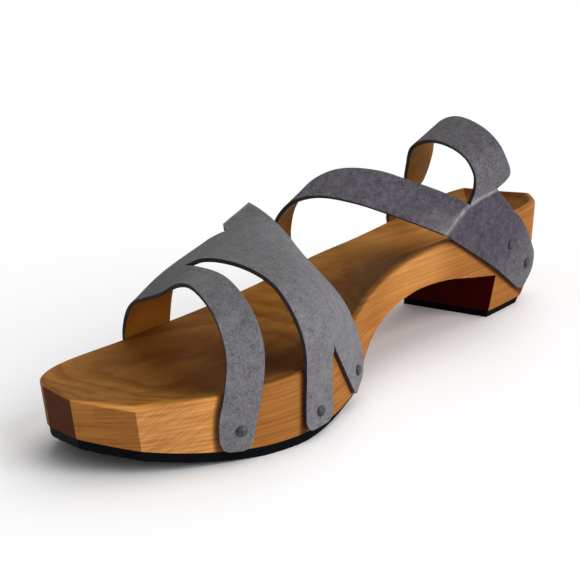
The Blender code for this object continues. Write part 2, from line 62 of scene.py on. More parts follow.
# Footbed: x, height of the outer rim, height of the inner rim, depth of the dish, easing of the rim, and how
# far the outer side leans in by the time it reaches the floor
FOOTBED = (
    (-6.0, 45.8, 45.5, 7.0, 2.4, 7.6), (12.0, 44.4, 44.5, 8.5, 2.6, 7.6), (32.0, 43.6, 42.5, 8.0, 3.0, 7.6),
    (55.0, 43.6, 40.5, 6.5, 3.2, 6.0), (75.0, 43.2, 39.0, 5.0, 3.2, 2.2), (95.0, 41.0, 37.5, 4.0, 3.2, 0.0),
    (115.0, 36.5, 34.5, 3.5, 3.0, 0.0), (135.0, 32.0, 31.5, 4.0, 2.6, 0.0),
    (155.0, 29.0, 29.3, 4.5, 2.0, 0.0), (175.0, 28.2, 28.3, 4.5, 1.6, 0.0),
    (200.0, 28.0, 28.0, 4.0, 1.4, 0.0), (218.0, 27.8, 28.0, 3.5, 1.4, 0.0),
    (238.0, 29.3, 29.5, 3.0, 1.5, 0.0), (256.0, 31.8, 31.8, 3.0, 1.5, 0.0),
)
HEIGHT_OUTER, HEIGHT_INNER, DISH, EASE, LEAN_IN = 1, 2, 3, 4, 5
# The lean fades out round the back of the heel: y where it is gone, y where it is whole
LEAN_GONE, LEAN_WHOLE = -6.0, 12.0
# Underside, sawn straight across: stretches of x, z that meet at the saw's corners
HEEL_SWEEP = ((-30.0, 38.0), (-4.6, 36.5), (-1.8, 30.0), (2.0, 24.5), (7.0, 18.5), (13.0, 11.5), (20.5, 2.8))
HEEL_FRONT = ((20.5, 2.8), (43.4, 2.8), (39.4, 18.6))
ARCH = (
    (39.4, 18.6), (56.0, 22.7), (70.5, 26.1), (85.0, 27.3), (97.0, 26.0), (107.0, 23.4), (118.0, 19.6),
    (127.0, 15.6), (134.0, 11.6), (140.0, 8.2), (147.0, 5.0),
)
TOE_SPRING = (
    (147.0, 5.0), (158.0, 4.3), (170.0, 4.0), (200.0, 4.0), (213.0, 5.0), (226.0, 7.0), (238.0, 9.6),
    (247.0, 12.6), (254.0, 15.8), (280.0, 30.0),
)
# How far below the floor and to either side the saw's waste reaches
SAW_FLOOR, SAW_REACH = -12.0, 90.0
# The front of the heel is sawn askew: how far it comes forward for each millimetre inwards of a line
HEEL_SKEW, ASKEW_FROM = 0.085, 21.4
# Middle line of the dish, the rings between it and the rim, and the share of a ring that stays open there
SPINE_HEEL, SPINE_TOE = 26.0, 214.0
DISH_RINGS, DISH_POWER, DISH_OPEN = 14, 2.4, 0.35
# Rings over the eased rim, and the shares of its turn where the oil begins and is whole
RIM_RINGS, OIL_BEGINS, OIL_WHOLE = 9, 0.3, 0.7
# Step round the plan, and steps from point to point of its sides and of the saw's line
PLAN_STEP, SIDE_STEPS, SAW_STEPS = 2.0, 16, 6
# The rasp took the rim further in and down round the outer toe corner
RASPED_CORNER, RASP_LENGTH, RASP_IN, RASP_DOWN = Vector((239.5, 26.5, 0.0)), 26.0, 1.0, 2.0
# Angle, in degrees, from which two faces of the wood meet in a sharp edge
SHARP_FROM = 14.0


def clamped(value, low=0.0, high=1.0):
    return min(max(value, low), high)


def hermite(a, b, slope_a, slope_b, t):
    """Point at t between a and b with end slopes slope_a and slope_b."""
    ease = t * t * (3.0 - 2.0 * t)
    return a + (b - a) * ease + slope_a * (t * (1.0 - t) ** 2) - slope_b * (t * t * (1.0 - t))


def along(rows, column, x):
    """Smooth value of one column of a table at station x."""
    last = len(rows) - 1
    x = clamped(x, rows[0][0], rows[last][0])
    i = 0
    while i < last - 1 and x > rows[i + 1][0]:
        i += 1

    def slope(k):
        low, high = max(k - 1, 0), min(k + 1, last)
        return (rows[high][column] - rows[low][column]) / (rows[high][0] - rows[low][0])

    span = rows[i + 1][0] - rows[i][0]
    t = (x - rows[i][0]) / span
    return hermite(rows[i][column], rows[i + 1][column], slope(i) * span, slope(i + 1) * span, t)


def flowing_line(points, steps, folds=()):
    """Line through every point with equal steps in each span, turning sharply only at the points in folds."""
    last = len(points) - 1
    line = []
    for i in range(last):
        before, a, b, after = points[max(i - 1, 0)], points[i], points[i + 1], points[min(i + 2, last)]
        span = (b - a).length
        slope_a = (b - before) / (span + (a - before).length) * span if i not in folds else b - a
        slope_b = (after - a) / (span + (after - b).length) * span if i + 1 not in folds else b - a
        line += [hermite(a, b, slope_a, slope_b, k / steps) for k in range(steps)]
    line.append(points[last].copy())
    return line


def lengths_along(points):
    """Length of the line from its start to each of its points."""
    lengths = [0.0]
    for a, b in zip(points, points[1:]):
        lengths.append(lengths[-1] + (b - a).length)
    return lengths


def even_steps(points, step):
    """The same line walked in equal steps of about the given length."""
    lengths = lengths_along(points)
    count = max(1, round(lengths[-1] / step))
    line = []
    k = 0
    for n in range(count + 1):
        want = lengths[-1] * n / count
        while k < len(points) - 2 and lengths[k + 1] < want:
            k += 1
        part = (want - lengths[k]) / max(lengths[k + 1] - lengths[k], 1e-9)
        line.append(points[k].lerp(points[k + 1], clamped(part)))
    return line


def plan_line(rows):
    return flowing_line([Vector((x, y, 0.0)) for x, y in rows], SIDE_STEPS)


def flat_cuts(corners):
    """Straight cuts from corner to corner, up to the last corner."""
    line = []
    for a, b in zip(corners, corners[1:]):
        line += even_steps([Vector((*a, 0.0)), Vector((*b, 0.0))], PLAN_STEP)[:-1]
    return line


def sole_plan():
    """Closed plan of the sole, without a repeated point."""
    outer = even_steps(plan_line(OUTER_SIDE), PLAN_STEP)[:-1]
    inner = even_steps(plan_line(INNER_SIDE), PLAN_STEP)[:-1]
    return outer + flat_cuts(TOE_CUTS) + inner + flat_cuts(HEEL_CUT)


# The two long sides, as points in the order of x
SIDES = {
    "outer": sorted((p.x, p.y) for p in plan_line(OUTER_SIDE)),
    "inner": sorted((p.x, p.y) for p in plan_line(INNER_SIDE)),
}


def wall_y(side, x):
    """Across position of the sole's wall at station x."""
    line = SIDES[side]
    for (xa, ya), (xb, yb) in zip(line, line[1:]):
        if xa <= x <= xb and xb > xa:
            return ya + (yb - ya) * (x - xa) / (xb - xa)
    return line[0][1] if x < line[0][0] else line[-1][1]


def rim_height(x, y):
    """Height of the rim, shared between the outer and the inner side."""
    outer, inner = wall_y("outer", x), wall_y("inner", x)
    share = clamped((y - inner) / max(outer - inner, 1.0))
    return along(FOOTBED, HEIGHT_INNER, x) * (1.0 - share) + along(FOOTBED, HEIGHT_OUTER, x) * share


def spine_point(p):
    """Point on the middle line of the dish that a point of the plan faces."""
    x = clamped(p.x, SPINE_HEEL, SPINE_TOE)
    return Vector((x, 0.5 * (wall_y("outer", x) + wall_y("inner", x)), 0.0))


def wall_top(x):
    """Height at which the outer wall ends and the easing of its rim begins."""
    return along(FOOTBED, HEIGHT_OUTER, x) - along(FOOTBED, EASE, x)


def leaning(p):
    """How far the wall has come in towards the middle line of the dish, at the height of a point."""
    whole = clamped((p.y - LEAN_GONE) / (LEAN_WHOLE - LEAN_GONE))
    below = max(0.0, 1.0 - p.z / wall_top(p.x))
    return whole * below * max(along(FOOTBED, LEAN_IN, p.x), 0.0)


def towards_spine(p):
    return (spine_point(p) - Vector((p.x, p.y, 0.0))).normalized()


def wall_point(side, x, z):
    """Point of the wall at height z, below station x of the rim."""
    p = Vector((x, wall_y(side, x), z))
    return p + towards_spine(p) * leaning(p)


def placed(p):
    """A point of the drawing, in millimetres, at its place in the frame."""
    return Vector(((p.x - HEEL_TO_MIDDLE) * MM, (p.y - AXIS_TO_MIDDLE) * MM, p.z * MM))


def new_piece(name, data):
    made = bpy.data.objects.new(name, data)
    bpy.context.scene.collection.objects.link(made)
    return made


def mesh_of(name, bm):
    mesh = bpy.data.meshes.new(name)
    bm.to_mesh(mesh)
    bm.free()
    return mesh


def rim_rings(plan):
    """Rings over the eased rim, each with its share of the footbed's oil."""
    rings = []
    for n in range(RIM_RINGS + 1):
        part = n / RIM_RINGS
        turn = part * math.pi / 2.0
        ring = []
        for p in plan:
            rasped = max(0.0, 1.0 - (p - RASPED_CORNER).length / RASP_LENGTH)
            ease = along(FOOTBED, EASE, p.x)
            inwards = (1.0 - math.cos(turn)) * (1.0 - rasped) + part * rasped
            down = (1.0 - math.sin(turn)) * (1.0 - rasped) + (1.0 - part) * rasped
            q = p + towards_spine(p) * (inwards * (ease + rasped * RASP_IN))
            ring.append(Vector((q.x, q.y, rim_height(q.x, q.y) - down * (ease + rasped * RASP_DOWN))))
        rings.append((ring, clamped((part - OIL_BEGINS) / (OIL_WHOLE - OIL_BEGINS))))
    return rings


def dish_rings(rim):
    """Rings from the rim down the dish to its middle line."""
    rings = []
    for n in range(1, DISH_RINGS + 1):
        share = 1.0 - n / (DISH_RINGS + DISH_OPEN)
        ring = []
        for p in rim:
            spine = spine_point(p)
            q = spine.lerp(Vector((p.x, p.y, 0.0)), share)
            depth = along(FOOTBED, DISH, q.x) * (1.0 - share ** DISH_POWER)
            edge = p.z * share + rim_height(spine.x, spine.y) * (1.0 - share)
            ring.append(Vector((q.x, q.y, edge - depth)))
        rings.append((ring, 1.0))
    return rings


def close_dish(bm, ring, toe):
    """Close the narrow last ring with triangles, from the toe back to the heel."""
    count = len(ring)
    left, right = (toe + 1) % count, (toe - 1) % count
    bm.faces.new((ring[toe], ring[left], ring[right]))
    for _ in range(count - 3):
        next_left, next_right = (left + 1) % count, (right - 1) % count
        if ring[next_left].co.x > ring[next_right].co.x:
            bm.faces.new((ring[left], ring[next_left], ring[right]))
            left = next_left
        else:
            bm.faces.new((ring[left], ring[next_right], ring[right]))
            right = next_right


def block_of_wood():
    """Upright block with the plan of the sole, an eased rim and the dished top."""
    plan = sole_plan()
    rings = [([p + towards_spine(p) * leaning(p) for p in plan], 0.0)] + rim_rings(plan)
    rings += dish_rings(rings[-1][0])
    bm = bmesh.new()
    oil = bm.verts.layers.float.new("oil")
    made = []
    for ring, share in rings:
        made.append([bm.verts.new(placed(p)) for p in ring])
        for vert in made[-1]:
            vert[oil] = share
    for low, high in zip(made, made[1:]):
        for i in range(len(low)):
            j = (i + 1) % len(low)
            bm.faces.new((low[i], low[j], high[j], high[i]))
    bm.faces.new(made[0])
    close_dish(bm, made[-1], max(range(len(plan)), key=lambda k: plan[k].x))
    bmesh.ops.recalc_face_normals(bm, faces=bm.faces)
    return new_piece("sole_wood", mesh_of("sole_wood", bm))


def saw_line():
    """Line of the saw below the sole, each point with its share of the heel's skew."""
    line = []
    for rows in (HEEL_SWEEP, HEEL_FRONT, ARCH, TOE_SPRING):
        points = [Vector((x, 0.0, z)) for x, z in rows]
        if rows is not HEEL_FRONT:
            points = flowing_line(points, SAW_STEPS)
        for n, p in enumerate(points[:-1]):
            askew = float(n) if rows is HEEL_FRONT else 0.0
            if rows is ARCH:
                askew = max(0.0, (ARCH[1][0] - p.x) / (ARCH[1][0] - ARCH[0][0]))
            line.append((p, askew))
    beyond, behind = TOE_SPRING[-1], HEEL_SWEEP[0]
    line += [(Vector((beyond[0], 0.0, z)), 0.0) for z in (beyond[1], SAW_FLOOR)]
    line.append((Vector((behind[0], 0.0, SAW_FLOOR)), 0.0))
    return line


def saw_under_sole():
    """What the saw takes away below the sole, carried across the whole width."""
    bm = bmesh.new()
    ends = []
    for y in (-SAW_REACH, SAW_REACH):
        forward = HEEL_SKEW * (ASKEW_FROM - y)
        ends.append([bm.verts.new(placed(p + Vector((forward * askew, y, 0.0)))) for p, askew in saw_line()])
        bm.faces.new(ends[-1])
    inner, outer = ends
    for k in range(len(inner)):
        j = (k + 1) % len(inner)
        bm.faces.new((inner[k], inner[j], outer[j], outer[k]))
    bmesh.ops.recalc_face_normals(bm, faces=bm.faces)
    return new_piece("saw", mesh_of("saw", bm))


def sawn_sole():
    """The block with its underside sawn away, smooth but for the edges that tools left."""
    block, saw = block_of_wood(), saw_under_sole()
    stroke = block.modifiers.new("sawn underside", "BOOLEAN")
    stroke.operation = "DIFFERENCE"
    stroke.solver = "EXACT"
    stroke.object = saw
    evaluated = block.evaluated_get(bpy.context.evaluated_depsgraph_get())
    mesh = bpy.data.meshes.new_from_object(evaluated)
    block.modifiers.clear()
    block.data = mesh
    bpy.data.objects.remove(saw, do_unlink=True)
    mesh.shade_smooth()
    mesh.set_sharp_from_angle(angle=math.radians(SHARP_FROM))
    return block


class Finish:
    """One material: its shader, and nodes that colour it by the surface's facing and place in millimetres."""

    def __init__(self, name):
        self.material = bpy.data.materials.new(name)
        self.material.use_nodes = True
        self.tree = self.material.node_tree
        self.shader = self.tree.nodes["Principled BSDF"]
        surface = self.add("NewGeometry").outputs
        scaled = self.add("VectorMath", {0: surface["Position"], "Scale": 1.0 / MM}, operation="SCALE")
        self.place, self.normal = scaled.outputs["Vector"], surface["Normal"]

    def fill(self, node, inputs):
        """Set the inputs of a node, or link them."""
        for key, value in inputs.items():
            socket = node.inputs[key]
            if isinstance(value, bpy.types.NodeSocket):
                self.tree.links.new(value, socket)
            else:
                socket.default_value = (*value, 1.0) if socket.type == "RGBA" else value

    def give(self, inputs):
        """Fill inputs of the shader."""
        self.fill(self.shader, inputs)

    def add(self, kind, inputs=None, **settings):
        """One shader node with its settings, and its inputs filled."""
        made = self.tree.nodes.new("ShaderNode" + kind)
        for key, value in settings.items():
            setattr(made, key, value)
        self.fill(made, inputs or {})
        return made

    def axes(self, vector):
        return self.add("SeparateXYZ", {"Vector": vector}).outputs

    def joined(self, x, y, z=0.0):
        return self.add("CombineXYZ", {"X": x, "Y": y, "Z": z}).outputs["Vector"]

    def stretched(self, vector, by):
        return self.add("VectorMath", {0: vector, 1: by}, operation="MULTIPLY").outputs["Vector"]

    def distance_along(self, direction):
        """Distance of the surface's place along a direction."""
        return self.add("VectorMath", {0: self.place, 1: direction}, operation="DOT_PRODUCT").outputs["Value"]

    def painted(self, name):
        """Share that the mesh carries at its points under this name."""
        return self.add("Attribute", attribute_name=name).outputs["Fac"]

    def speckle(self, vector, scale, detail=3.0, roughness=0.55):
        inputs = {"Vector": vector, "Scale": scale, "Detail": detail, "Roughness": roughness}
        return self.add("TexNoise", inputs).outputs["Fac"]

    def sums(self, operation, *values):
        """Math node over values or sockets."""
        return self.add("Math", dict(enumerate(values)), operation=operation).outputs["Value"]

    def times(self, product, *factors):
        for factor in factors:
            product = self.sums("MULTIPLY", product, factor)
        return product

    def between(self, value, low, high):
        """Smooth share of the way from low to high."""
        inputs = {"Value": value, "From Min": low, "From Max": high}
        return self.add("MapRange", inputs, interpolation_type="SMOOTHSTEP").outputs["Result"]

    def ramp(self, value, *stops):
        """Value carried through stops of (place, grey or colour)."""
        made = self.add("ValToRGB", {"Fac": value})
        while len(made.color_ramp.elements) < len(stops):
            made.color_ramp.elements.new(0.5)
        for element, (place, colour) in zip(made.color_ramp.elements, stops):
            element.position = place
            element.color = (*colour, 1.0) if isinstance(colour, tuple) else (colour, colour, colour, 1.0)
        return made.outputs["Color"]

    def share(self, value, none, whole):
        """Share of something: none of it below one value, the whole above another."""
        return self.ramp(value, (none, 0.0), (whole, 1.0))

    def mixed(self, share, first, second, how="MIX"):
        """First colour turned towards the second in the given share."""
        return self.add("Mix", {0: share, 6: first, 7: second}, data_type="RGBA", blend_type=how).outputs[2]

    def stained(self, share, colour, stain):
        """Colour multiplied by the stain in the given share."""
        return self.mixed(share, colour, stain, "MULTIPLY")

    def raised(self, height, distance, strength=1.0):
        """Raise the surface by the distance, in millimetres, where the height is 1."""
        bump = self.add("Bump", {"Height": height, "Distance": distance * MM, "Strength": strength})
        self.give({"Normal": bump.outputs["Normal"]})


# Growth layers lie nearly level: height of the pith above the floor, gap from layer to layer, start of the
# first one, rise for each millimetre towards the toe, and how far they waver
PITH_HEIGHT, LAYER_GAP, FIRST_LAYER, LAYER_RISE, LAYER_WAVER = 500.0, 1.7, 0.65, 0.02, 1.5
# Course of one layer, from early to late wood: place in the layer, darkness
LAYER_COURSE = ((0.0, 0.1), (0.35, 0.2), (0.7, 0.75), (0.88, 1.0), (1.0, 0.1))
# How finely the grain changes along x, y and z, or depth in the layers
WAVER_GRAIN, YEAR_GRAIN = (0.012, 0.04, 0.04), (0.004, 0.01, 0.36)
STREAK_GRAIN, PORE_GRAIN, SOAK_GRAIN = (0.012, 0.10, 1.0), (0.05, 1.0, 1.0), (0.25, 1.0, 1.0)
DARK_STREAK, PALE_STREAK = (0.50, 0.197, 0.045), (0.75, 0.342, 0.092)
LATE_WOOD, LATE_SHARE = (0.34, 0.115, 0.020), 0.44
PORE, PORE_SHARE = (0.30, 0.105, 0.02), 0.22
# Stains of the worked faces, and painted shade on the front of the heel under the arch. Each begins and is
# whole at two values of x, or of the face's direction along an axis.
SAWN_END, SAWN_SHARE, SAWN_COURSE = (0.115, 0.045, 0.006), 0.97, ((0.70, 0.0), (0.86, 0.55), (0.98, 1.0))
HEEL_FACE_SHADE, HEEL_FACE_X, HEEL_FACING = (0.45, 0.02, 0.05), (69.0, 59.0), (0.6, 0.8)
UNDERSIDE, DOWN_FACING = (0.36, 0.22, 0.17), (-0.3, -0.6)
SIDE_FACING, END_FACING = (0.3, 0.7), (0.6, 0.85)
# The rasped flat at the toe: its facing, and the directions along and across the strokes
RASPED_FACING_X, RASPED_FACING_Y = (0.48, 0.58), (0.6, 0.7)
RASP_STROKE, RASP_ACROSS = (0.65, -0.57, -0.50), (0.375, -0.33, 0.866)
STROKE_GRAIN, STROKE_SCALE = 0.08, 0.85
RASPED_FLAT, RASP_MARK, MARK_SHARE = (0.93, 0.98, 1.20), (0.70, 0.62, 0.52), 0.6
# Sides darker behind the toe, least at the waist, with painted shade of the straps at the ball: tints, and x
# where each begins and is whole
BALL_SIDE_SHADE, REAR_SIDE, WAIST_SIDE = (0.50, 0.46, 0.43), (0.55, 0.50, 0.48), (0.74, 0.74, 0.78)
DARKER_SIDES_X, BALL_SIDE_SHADE_X = (216.0, 202.0), (124.0, 148.0)
WAIST_SIDE_REAR, WAIST_SIDE_FRONT = (63.0, 81.0), (117.0, 93.0)
# Painted shadow beside the front edges of the first, second and heel legs: x of the edge at the floor, its
# lean for each millimetre of height and the bend of that lean, and how far the painted shadow reaches
LEG_EDGES = ((216.33, 0.134, -0.00904, 2.6), (185.6, -0.163, 0.0, 2.6), (14.2, 1.2, 0.0, 4.0))
STRAP_SHADOW, STRAP_SHADOW_WHOLE = (0.30, 0.25, 0.26), 0.25
# Oil on the footbed, from the toe back: stain, and x where it takes over from the one before
OIL_TOE = (0.36, 0.34, 0.24)
OIL_BEHIND = (
    ((0.37, 0.35, 0.22), (187.0, 147.0)),
    ((0.74, 0.74, 0.62), (89.0, 61.0)),
    ((0.36, 0.38, 0.34), (29.0, 21.0)),
)
OILED_LATE, OILED_LATE_X = (0.42, 0.37, 0.32), (119.0, 167.0)
# Painted shade from the outer rim over the footbed at the waist: tint, x at its front and rear, y across
WAIST_RIM_SHADE, WAIST_FRONT, WAIST_REAR = (0.46, 0.46, 0.58), (149.0, 125.0), (49.0, 79.0)
WAIST_ACROSS = (-26.76, 11.24)
BARE_ROUGH, OIL_SMOOTHS, PORE_ROUGHENS, WOOD_SHINE = 0.6, 0.12, 0.15, 0.03
FIBRE_HEIGHT, STREAK_HEIGHT = 0.05, 0.5


def growth_layers(alder, at):
    """Depth of the surface below the pith, and its place with that depth instead of its height."""
    down = alder.sums("SUBTRACT", PITH_HEIGHT, at["Z"])
    squares = alder.sums("ADD", alder.sums("POWER", at["Y"], 2.0), alder.sums("POWER", down, 2.0))
    waver = alder.speckle(alder.stretched(alder.place, WAVER_GRAIN), 1.0, 2.0)
    depth = alder.sums("ADD", alder.sums("SQRT", squares), alder.times(at["X"], LAYER_RISE))
    depth = alder.sums("ADD", depth, alder.times(waver, LAYER_WAVER))
    return depth, alder.joined(at["X"], at["Y"], depth)


def late_bands(alder, depth, in_layers):
    """Dark late wood at the end of each layer, stronger in some years than in others."""
    layers = alder.sums("ADD", alder.sums("DIVIDE", depth, LAYER_GAP), FIRST_LAYER)
    ring = alder.ramp(alder.sums("FRACT", layers), *LAYER_COURSE)
    years = alder.speckle(alder.stretched(in_layers, YEAR_GRAIN), 1.0, 2.0)
    return alder.times(ring, alder.ramp(years, (0.38, 0.4), (0.62, 1.0)), LATE_SHARE)


def rasp_strokes(alder, facing):
    """Share of the rasped flat, and the slanting marks on it."""
    rasped = alder.between(facing["X"], *RASPED_FACING_X)
    rasped = alder.times(rasped, alder.between(facing["Y"], *RASPED_FACING_Y))
    stroke = alder.times(alder.distance_along(RASP_STROKE), STROKE_GRAIN)
    marks = alder.speckle(alder.joined(stroke, alder.distance_along(RASP_ACROSS)), STROKE_SCALE)
    return rasped, alder.times(alder.share(marks, 0.42, 0.62), rasped)


def darkened_sides(alder, wood, x, z, facing):
    """Sides darker behind the toe, with painted shade of the straps at the ball, and painted shadow beside
    the legs on the outer one.
    """
    waist = alder.times(alder.between(x, *WAIST_SIDE_REAR), alder.between(x, *WAIST_SIDE_FRONT))
    side_darkening = alder.mixed(waist, REAR_SIDE, WAIST_SIDE)
    # At the ball the darker tint is painted shade of the straps
    side_darkening = alder.mixed(alder.between(x, *BALL_SIDE_SHADE_X), side_darkening, BALL_SIDE_SHADE)
    sides = alder.between(alder.sums("ABSOLUTE", facing["Y"]), *SIDE_FACING)
    wood = alder.stained(alder.times(alder.between(x, *DARKER_SIDES_X), sides), wood, side_darkening)
    outer_side = alder.between(facing["Y"], *SIDE_FACING)
    # Painted shadow on the outer side of the wood, beside the front edge of each leg
    for at_floor, lean, bend, reach in LEG_EDGES:
        edge = alder.times(alder.sums("ADD", lean, alder.times(z, bend)), z)
        away = alder.sums("ABSOLUTE", alder.sums("SUBTRACT", x, alder.sums("ADD", at_floor, edge)))
        shadowed = alder.times(alder.between(away, reach, STRAP_SHADOW_WHOLE * reach), outer_side)
        wood = alder.stained(shadowed, wood, STRAP_SHADOW)
    return wood


def oiled_footbed(alder, wood, oil, late, x, y):
    """Footbed darkened by oil and wear, with darker late wood in front of the waist, and painted shade from
    the outer rim at the waist.
    """
    soaked = alder.speckle(alder.stretched(alder.place, SOAK_GRAIN), 0.06, 4.0)
    oiled = OIL_TOE
    for stain, zone in OIL_BEHIND:
        oiled = alder.mixed(alder.between(x, *zone), oiled, stain)
    wood = alder.stained(alder.times(oil, alder.ramp(soaked, (0.3, 0.85), (0.7, 1.0))), wood, oiled)
    wood = alder.stained(alder.times(oil, alder.between(x, *OILED_LATE_X), late), wood, OILED_LATE)
    # Painted shade from the outer rim at the waist
    waist = alder.times(alder.between(x, *WAIST_FRONT), alder.between(x, *WAIST_REAR))
    waist = alder.times(waist, oil, alder.between(y, *WAIST_ACROSS))
    return alder.stained(waist, wood, WAIST_RIM_SHADE)


def oiled_alder():
    """Orange-brown wood in level layers, so that the dished top shows them as rings, with dark sawn ends."""
    alder = Finish("alder")
    at, facing = alder.axes(alder.place), alder.axes(alder.normal)
    x, y = alder.sums("ADD", at["X"], HEEL_TO_MIDDLE), alder.sums("ADD", at["Y"], AXIS_TO_MIDDLE)
    endways = alder.sums("ABSOLUTE", facing["X"])
    depth, in_layers = growth_layers(alder, at)
    late = late_bands(alder, depth, in_layers)
    streaks = alder.share(alder.speckle(alder.stretched(in_layers, STREAK_GRAIN), 1.0, 5.0), 0.3, 0.7)
    pores = alder.share(alder.speckle(alder.stretched(alder.place, PORE_GRAIN), 2.4), 0.56, 0.7)
    pores = alder.times(pores, alder.sums("SUBTRACT", 1.0, alder.between(endways, *END_FACING)))
    wood = alder.mixed(late, alder.mixed(streaks, DARK_STREAK, PALE_STREAK), LATE_WOOD)
    wood = alder.mixed(alder.times(pores, PORE_SHARE), wood, PORE)

    wood = alder.stained(alder.times(alder.ramp(endways, *SAWN_COURSE), SAWN_SHARE), wood, SAWN_END)
    rasped, rasp_marks = rasp_strokes(alder, facing)
    wood = alder.stained(rasped, wood, RASPED_FLAT)
    wood = alder.stained(alder.times(rasp_marks, MARK_SHARE), wood, RASP_MARK)
    # Painted shade on the front of the heel, under the arch
    heel_face = alder.times(alder.between(x, *HEEL_FACE_X), alder.between(facing["X"], *HEEL_FACING))
    wood = alder.stained(heel_face, wood, HEEL_FACE_SHADE)
    wood = alder.stained(alder.between(facing["Z"], *DOWN_FACING), wood, UNDERSIDE)
    wood = darkened_sides(alder, wood, x, at["Z"], facing)
    oil = alder.painted("oil")
    wood = oiled_footbed(alder, wood, oil, late, x, y)

    rough = alder.sums("SUBTRACT", BARE_ROUGH, alder.times(oil, OIL_SMOOTHS))
    rough = alder.sums("ADD", rough, alder.times(pores, PORE_ROUGHENS))
    alder.give({"Base Color": wood, "Roughness": rough, "Specular IOR Level": WOOD_SHINE})
    grooves = alder.sums("ADD", pores, rasp_marks)
    alder.raised(alder.sums("SUBTRACT", alder.times(streaks, STREAK_HEIGHT), grooves), FIBRE_HEIGHT)
    return alder.material


sole = sawn_sole()
sole.data.materials.clear()
sole.data.materials.append(oiled_alder())
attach(sole, "root")
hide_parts("wooden_sole")


# Rubber underfoot: a black sheet cut to the forefoot and bent up along the toe spring, and a thinner lift
# under the heel. Both are glued to the wood and trimmed flush with its sides.
BLACK, DUSTY, DUST_SHARE = (0.0022, 0.0025, 0.0032), (0.006, 0.006, 0.0065), 0.4
RUBBER_ROUGH, CRUMB_ROUGHENS, RUBBER_SHINE, CRUMB_HEIGHT = 0.5, 0.3, 0.04, 0.2


def black_rubber():
    """Dull black rubber with a fine crumb and a little dust."""
    made = Finish("black rubber")
    dust = made.share(made.speckle(made.place, 0.12, 4.0), 0.4, 0.75)
    crumb = made.speckle(made.place, 2.2)
    rough = made.sums("ADD", made.times(crumb, CRUMB_ROUGHENS), RUBBER_ROUGH)
    black = made.mixed(made.times(dust, DUST_SHARE), BLACK, DUSTY)
    made.give({"Base Color": black, "Roughness": rough, "Specular IOR Level": RUBBER_SHINE})
    made.raised(crumb, CRUMB_HEIGHT)
    return made.material


rubber = black_rubber()
for name in ("forefoot_outsole", "heel_lift"):
    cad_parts[name].material_slots[0].material = rubber


# Upper: one piece of leather about 1.7 mm thick, grey suede outside and smooth brown inside, slit into straps
# that zigzag over the foot. Its ends are cut round and nailed to the sides of the wood.

# Thickness, the gap left to the wood, and how far above the rim the leather hangs free
LEATHER, SEAM, OVER_RIM = 1.7, 0.3, 1.0
STAND_OFF = LEATHER + SEAM
# Steps across a band and from row to row, and how close two points are welded
ACROSS, ROW_STEPS, WELD = 14, 8, 0.05
# Edges of the straps, row by row from the outer side of the foot to the inner: x, y or a wall, z
FRONT_STRAP_FRONT = (
    (216.8, "outer", 5.6), (216.0, "outer", 17.0), (213.0, "outer", 28.0), (209.5, 47.0, 41.0),
    (207.0, 41.5, 53.0), (206.0, 34.5, 60.5), (205.0, 25.0, 65.0), (204.0, 15.0, 63.5), (202.0, 2.0, 57.5),
    (198.5, -15.0, 51.5), (194.8, -28.5, 46.5), (192.6, -37.6, 39.5), (192.0, "inner", 29.0),
    (192.0, "inner", 19.0), (192.0, "inner", 9.0),
)
FRONT_STRAP_REAR = (
    (206.4, "outer", 4.4), (203.0, "outer", 17.0), (200.0, "outer", 27.0), (196.0, 53.0, 40.0),
    (193.5, 48.0, 51.0), (192.5, 40.0, 60.0), (191.0, 29.0, 65.0), (190.0, 15.0, 66.0),
)
BALL_INNER_MID = (
    (187.0, -1.0, 63.5), (185.5, -17.0, 58.0), (184.0, -30.0, 50.0), (183.0, -40.0, 40.5),
    (182.5, "inner", 29.0), (182.5, "inner", 19.0), (182.5, "inner", 8.0),
)
SECOND_STRAP_FRONT = (
    (184.9, "outer", 4.3), (183.2, "outer", 16.0), (181.2, "outer", 27.0), (180.5, 58.5, 36.0),
    (180.5, 57.0, 45.0), (181.0, 52.5, 54.5), (181.5, 46.0, 61.5), (182.0, 35.0, 65.8), (183.0, 21.0, 67.7),
    (184.5, 8.0, 67.0),
)
SECOND_LEG_REAR = ((169.2, "outer", 4.4), (167.5, "outer", 16.0), (165.5, "outer", 26.0))
SECOND_STRAP_MID = (
    (163.5, 55.5, 33.0), (162.0, 52.5, 42.5), (160.5, 47.0, 51.0), (159.5, 39.0, 58.5), (158.5, 28.0, 64.5),
    (158.0, 16.0, 68.5), (158.0, 4.0, 70.6), (157.9, -8.0, 68.7),
)
BALL_INNER_REAR = (
    (162.3, -16.5, 64.6), (164.6, -28.0, 56.0), (165.7, -38.5, 45.5), (168.3, "inner", 29.0),
    (169.5, "inner", 19.0), (170.5, "inner", 8.0),
)
THIRD_LEG_FRONT = ((149.6, "outer", 5.1), (155.9, "outer", 17.4), (160.5, "outer", 26.5))
SECOND_STRAP_REAR = (
    (138.4, "outer", 9.9), (137.4, "outer", 18.0), (139.4, "outer", 25.6), (141.5, 44.0, 32.0),
    (142.0, 41.0, 39.5), (142.0, 36.0, 45.0), (141.5, 28.0, 50.5), (141.0, 18.0, 57.0), (140.5, 8.0, 65.0),
    (140.2, 0.0, 70.0), (140.0, -7.5, 73.2), (139.7, -14.0, 75.0), (132.5, -23.5, 67.5),
    (122.5, -30.5, 55.5),
)
TAB_FRONT = (
    (156.2, -12.0, 70.6), (146.0, -23.0, 63.5), (133.0, -32.0, 53.0), (122.5, -35.8, 43.0),
    (116.5, "inner", 33.5), (115.0, "inner", 24.5),
)
WAIST_INNER_MID = ((114.0, -35.0, 44.5), (110.0, "inner", 35.0), (108.0, "inner", 26.5))
